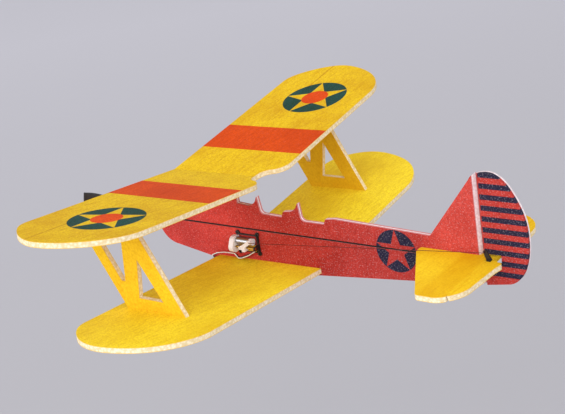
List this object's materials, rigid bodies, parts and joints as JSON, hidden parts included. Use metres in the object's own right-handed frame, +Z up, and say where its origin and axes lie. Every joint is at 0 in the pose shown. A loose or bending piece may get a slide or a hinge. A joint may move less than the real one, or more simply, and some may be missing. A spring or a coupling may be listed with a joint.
{
  "type": "rc biplane",
  "caption": "Indoor radio control biplane in printed flat foam sheet, with a geared motor and two linear servos moving the elevator and rudder.",
  "frame": {"origin": "middle of the fuselage's flat belly edge", "axes": "+X towards the nose, +Y towards the left wing tip, +Z up"},
  "size_m": [0.2606, 0.2834, 0.0788],
  "materials": {
    "printed_foam": "printed foam sheet, yellow, fine bead texture",
    "fuselage_foam": "printed foam sheet, faded red, fine bead texture",
    "tail_foam": "printed foam sheet, yellow",
    "strut_foam": "printed foam sheet, yellow, pale cut edges",
    "carbon": "pultruded carbon rod, satin",
    "black_plastic": "moulded black plastic",
    "white_plastic": "moulded white nylon",
    "motor_steel": "drawn steel motor can",
    "screw_plastic": "moulded white acetal",
    "circuit": "green circuit board",
    "chip_black": "moulded chip package",
    "steel_wire": "bright steel wire",
    "brass": "turned brass",
    "prop_plastic": "moulded black plastic",
    "hook_loop": "black hook and loop strip and foam tape",
    "cell_foil": "aluminium laminate pouch",
    "lead_insulation": "thin insulated wire"
  },
  "bodies": {
    "airframe": {"upper_wing_left": "printed_foam", "upper_wing_right": "printed_foam", "lower_wing_left": "printed_foam", "lower_wing_right": "printed_foam", "fuselage": "fuselage_foam", "stabiliser": "tail_foam", "strut_left": "strut_foam", "strut_right": "strut_foam", "upper_spar_left": "carbon", "upper_spar_right": "carbon", "fuselage_rod": "carbon", "elevator_servo_frame": "black_plastic", "rudder_servo_frame": "black_plastic", "gearbox_frame": "black_plastic", "receiver_sockets": "black_plastic", "elevator_servo_gear_cover": "white_plastic", "rudder_servo_gear_cover": "white_plastic", "elevator_servo_gear_plate": "white_plastic", "rudder_servo_gear_plate": "white_plastic", "elevator_servo_motor_cap": "white_plastic", "rudder_servo_motor_cap": "white_plastic", "motor_endcap": "white_plastic", "elevator_servo_motor": "motor_steel", "rudder_servo_motor": "motor_steel", "motor_can": "motor_steel", "elevator_servo_board": "circuit", "rudder_servo_board": "circuit", "receiver_board": "circuit", "battery_board": "circuit", "receiver_chips": "chip_black", "front_bush": "brass", "rear_bush": "brass", "hook_patch": "hook_loop", "loop_patch": "hook_loop", "receiver_pad": "hook_loop", "battery_cell": "cell_foil", "elevator_servo_lead": "lead_insulation", "rudder_servo_lead": "lead_insulation", "motor_lead": "lead_insulation", "battery_lead": "lead_insulation"},
    "propeller_assembly": {"propeller": "prop_plastic", "prop_shaft": "steel_wire", "spur_gear": "white_plastic", "shaft_collar": "brass", "prop_nut": "prop_plastic"},
    "motor_rotor": {"motor_pinion": "brass"},
    "rudder": {"rudder": "fuselage_foam", "rudder_horn": "black_plastic"},
    "elevator": {"elevator": "tail_foam", "elevator_horn": "black_plastic"},
    "elevator_slider": {"elevator_servo_slider": "white_plastic", "elevator_pushrod": "steel_wire"},
    "rudder_slider": {"rudder_servo_slider": "white_plastic", "rudder_pushrod": "steel_wire"},
    "elevator_screw": {"elevator_servo_screw": "screw_plastic"},
    "rudder_screw": {"rudder_servo_screw": "screw_plastic"},
    "elevator_servo_pinion": {"elevator_servo_pinion": "white_plastic"},
    "rudder_servo_pinion": {"rudder_servo_pinion": "white_plastic"}
  },
  "joints": [
    {"name": "prop_spin", "type": "hinge", "parent": "airframe", "child": "propeller_assembly", "pos_m": [0.094, 0, 0.025], "axis": [1, 0, 0], "continuous": true},
    {"name": "motor_spin", "type": "hinge", "parent": "airframe", "child": "motor_rotor", "pos_m": [0.0904, -0.00945, 0.025], "axis": [1, 0, 0], "continuous": true},
    {"name": "elevator_hinge", "type": "hinge", "parent": "airframe", "child": "elevator", "pos_m": [-0.1405, 0, 0.0265], "axis": [0, 1, 0], "range_deg": [-18, 18]},
    {"name": "elevator_slide", "type": "slide", "parent": "airframe", "child": "elevator_slider", "axis": [1, 0, 0], "range_m": [-0.00141, 0.00141]},
    {"name": "elevator_screw_spin", "type": "hinge", "parent": "airframe", "child": "elevator_screw", "pos_m": [0.01375, 0.0058, 0.01286], "axis": [1, 0, 0], "range_deg": [-254.6, 254.6]},
    {"name": "elevator_motor_spin", "type": "hinge", "parent": "airframe", "child": "elevator_servo_pinion", "pos_m": [0.01375, 0.004, 0.01615], "axis": [1, 0, 0], "range_deg": [-509.19, 509.19]},
    {"name": "rudder_hinge", "type": "hinge", "parent": "airframe", "child": "rudder", "pos_m": [-0.136, -0.0015, 0.04], "axis": [0, 0, 1], "range_deg": [-20, 20]},
    {"name": "rudder_slide", "type": "slide", "parent": "airframe", "child": "rudder_slider", "axis": [1, 0, 0], "range_m": [-0.0021, 0.0021]},
    {"name": "rudder_screw_spin", "type": "hinge", "parent": "airframe", "child": "rudder_screw", "pos_m": [0.01375, -0.0058, 0.01564], "axis": [1, 0, 0], "range_deg": [-377.18, 377.18]},
    {"name": "rudder_motor_spin", "type": "hinge", "parent": "airframe", "child": "rudder_servo_pinion", "pos_m": [0.01375, -0.004, 0.01235], "axis": [1, 0, 0], "range_deg": [-754.36, 754.36]}
  ],
  "couplings": [
    {"joint": "motor_spin", "follows": "prop_spin", "ratio": -6},
    {"joint": "elevator_slide", "follows": "elevator_hinge", "m_per_rad": 0.0045},
    {"joint": "elevator_screw_spin", "follows": "elevator_hinge", "ratio": 14.137},
    {"joint": "elevator_motor_spin", "follows": "elevator_hinge", "ratio": -28.274},
    {"joint": "rudder_slide", "follows": "rudder_hinge", "m_per_rad": 0.006},
    {"joint": "rudder_screw_spin", "follows": "rudder_hinge", "ratio": 18.85},
    {"joint": "rudder_motor_spin", "follows": "rudder_hinge", "ratio": -37.699}
  ]
}
